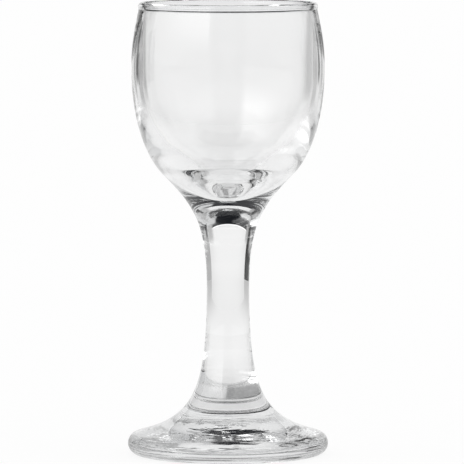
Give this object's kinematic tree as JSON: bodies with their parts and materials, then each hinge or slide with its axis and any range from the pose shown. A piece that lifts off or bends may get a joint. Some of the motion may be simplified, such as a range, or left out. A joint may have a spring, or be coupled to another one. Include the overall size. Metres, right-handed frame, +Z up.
{
  "type": "schnapps glass",
  "caption": "Small stemmed drinking glass of clear glass with a tulip bowl, a thick solid base under the bowl, a waisted stem and a heavy round foot.",
  "frame": {"origin": "centre of the flat ring under the foot, on the surface that the glass stands on", "axes": "+Z up along the glass's axis of revolution, towards the rim"},
  "size_m": [0.051, 0.051, 0.115],
  "materials": {
    "clear_glass": "clear, colourless and fire-polished"
  },
  "bodies": {
    "root": {"bowl": "clear_glass", "stem": "clear_glass", "foot": "clear_glass"}
  },
  "joints": []
}
